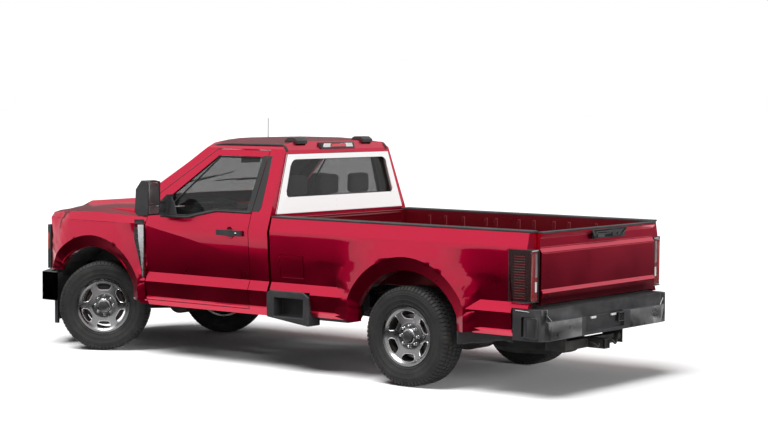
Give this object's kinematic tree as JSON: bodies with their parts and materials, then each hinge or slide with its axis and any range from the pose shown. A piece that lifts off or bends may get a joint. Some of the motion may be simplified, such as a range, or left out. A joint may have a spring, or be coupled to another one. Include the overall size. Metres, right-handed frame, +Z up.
{
  "type": "pickup truck",
  "caption": "Full-size regular-cab pickup truck with a long cargo bed, four-wheel drive, opening doors, hood, tailgate and fuel door, and turning, steered wheels.",
  "frame": {"origin": "on the ground, midway between the ends of the two bumpers and on the truck's centre plane", "axes": "+X forward, +Y to the truck's left, +Z up"},
  "size_m": [5.89, 2.524, 2.1333],
  "materials": {
    "body_paint": "deep metallic red gloss",
    "white_panel": "gloss white",
    "black_trim": "grained matt",
    "bright_chrome": "polished",
    "dark_glass": "tinted, clear",
    "lamp_cover": "clear over a dark housing",
    "red_lens": "clear red",
    "chassis_black": "satin black",
    "cast_parts": "as cast",
    "aluminium_core": "dull",
    "exhaust_steel": "dull",
    "seat_cloth": "woven",
    "cabin_plastic": "soft matt",
    "tyre_rubber": "matt"
  },
  "bodies": {
    "chassis": {"ladder_frame": "chassis_black", "cab_shell": "body_paint", "windshield": "dark_glass", "rear_window": "dark_glass", "rear_window_surround": "white_panel", "front_fenders": "body_paint", "grille": "bright_chrome", "headlamps": "lamp_cover", "radiator": "aluminium_core", "front_bumper": "bright_chrome", "bed_box": "body_paint", "bedsides": "body_paint", "bed_rail_caps": "black_trim", "tail_lamps": "red_lens", "rear_bumper": "bright_chrome", "hitch_receiver": "chassis_black", "box_steps": "black_trim", "roof_lamps": "black_trim", "antenna": "black_trim", "front_axle": "cast_parts", "rear_axle": "cast_parts", "leaf_springs": "chassis_black", "front_springs": "chassis_black", "powertrain": "cast_parts", "drive_shafts": "chassis_black", "fuel_tank": "black_trim", "exhaust": "exhaust_steel", "bench_seat": "seat_cloth", "dashboard": "cabin_plastic", "spare_wheel": "tyre_rubber"},
    "hood": {"hood": "body_paint"},
    "left_door": {"door_left": "body_paint", "door_glass_left": "dark_glass", "mirror_left": "black_trim"},
    "right_door": {"door_right": "body_paint", "door_glass_right": "dark_glass", "mirror_right": "black_trim"},
    "tail_gate": {"tailgate": "body_paint", "tailgate_trim": "black_trim"},
    "fuel_flap": {"fuel_door": "body_paint"},
    "left_knuckle": {"knuckle_left": "cast_parts"},
    "right_knuckle": {"knuckle_right": "cast_parts"},
    "hand_wheel": {"steering_wheel": "cabin_plastic"},
    "front_left_wheel": {"tyre_front_left": "tyre_rubber", "rim_front_left": "bright_chrome"},
    "front_right_wheel": {"tyre_front_right": "tyre_rubber", "rim_front_right": "bright_chrome"},
    "rear_left_wheel": {"tyre_rear_left": "tyre_rubber", "rim_rear_left": "bright_chrome"},
    "rear_right_wheel": {"tyre_rear_right": "tyre_rubber", "rim_rear_right": "bright_chrome"}
  },
  "joints": [
    {"name": "hood_hinge", "type": "hinge", "parent": "chassis", "child": "hood", "pos_m": [1.62, 0, 1.386], "axis": [0, -1, 0], "range_deg": [0, 50]},
    {"name": "left_door_hinge", "type": "hinge", "parent": "chassis", "child": "left_door", "pos_m": [1.293, 1.001, 0.9], "axis": [0, 0, -1], "range_deg": [0, 65]},
    {"name": "right_door_hinge", "type": "hinge", "parent": "chassis", "child": "right_door", "pos_m": [1.293, -1.001, 0.9], "axis": [0, 0, 1], "range_deg": [0, 65]},
    {"name": "tailgate_hinge", "type": "hinge", "parent": "chassis", "child": "tail_gate", "pos_m": [-2.818, 0, 0.785], "axis": [0, -1, 0], "range_deg": [0, 90]},
    {"name": "fuel_door_hinge", "type": "hinge", "parent": "chassis", "child": "fuel_flap", "pos_m": [-0.285, 0.99, 0.911], "axis": [0, 0, -1], "range_deg": [0, 100]},
    {"name": "left_steering", "type": "hinge", "parent": "chassis", "child": "left_knuckle", "pos_m": [1.974, 0.81, 0.411], "axis": [0, 0, 1], "range_deg": [-72, 4]},
    {"name": "right_steering", "type": "hinge", "parent": "chassis", "child": "right_knuckle", "pos_m": [1.974, -0.81, 0.411], "axis": [0, 0, 1], "range_deg": [-72, 4]},
    {"name": "steering_wheel_turn", "type": "hinge", "parent": "chassis", "child": "hand_wheel", "pos_m": [0.845, 0.4, 1.235], "axis": [-0.9063, 0, 0.4226], "range_deg": [-1152, 64]},
    {"name": "front_left_wheel_spin", "type": "hinge", "parent": "left_knuckle", "child": "front_left_wheel", "pos_m": [1.94185, 0.85767, 0.411], "axis": [-0.5592, 0.829, 0], "continuous": true},
    {"name": "front_right_wheel_spin", "type": "hinge", "parent": "right_knuckle", "child": "front_right_wheel", "pos_m": [2.00615, -0.85767, 0.411], "axis": [-0.5592, 0.829, 0], "continuous": true},
    {"name": "rear_left_wheel_spin", "type": "hinge", "parent": "chassis", "child": "rear_left_wheel", "pos_m": [-1.623, 0.8535, 0.411], "axis": [0, 1, 0], "continuous": true},
    {"name": "rear_right_wheel_spin", "type": "hinge", "parent": "chassis", "child": "rear_right_wheel", "pos_m": [-1.623, -0.8535, 0.411], "axis": [0, 1, 0], "continuous": true}
  ],
  "couplings": [
    {"joint": "right_steering", "follows": "left_steering", "ratio": 1},
    {"joint": "steering_wheel_turn", "follows": "left_steering", "ratio": 16}
  ]
}
